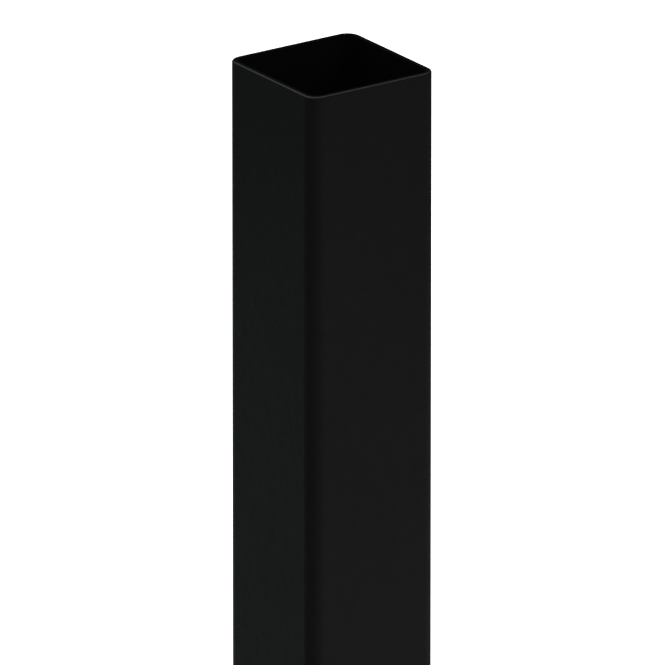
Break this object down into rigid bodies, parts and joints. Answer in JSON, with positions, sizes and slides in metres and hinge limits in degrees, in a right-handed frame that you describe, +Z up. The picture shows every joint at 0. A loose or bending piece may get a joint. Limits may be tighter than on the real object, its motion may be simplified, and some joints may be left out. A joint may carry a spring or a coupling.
{
  "type": "fence post",
  "caption": "Long straight square tube in black powder-coated steel with rounded corners and open ends, set upright in the ground to carry fence panels or rails.",
  "frame": {"origin": "centre of the post's foot end, on its axis", "axes": "+Z up the post towards its top end, -Y out of its front face, +X out of its right face"},
  "size_m": [0.05, 0.05, 1.8],
  "materials": {
    "powder_coat": "satin black powder coat"
  },
  "bodies": {
    "root": {"post": "powder_coat"}
  },
  "joints": []
}
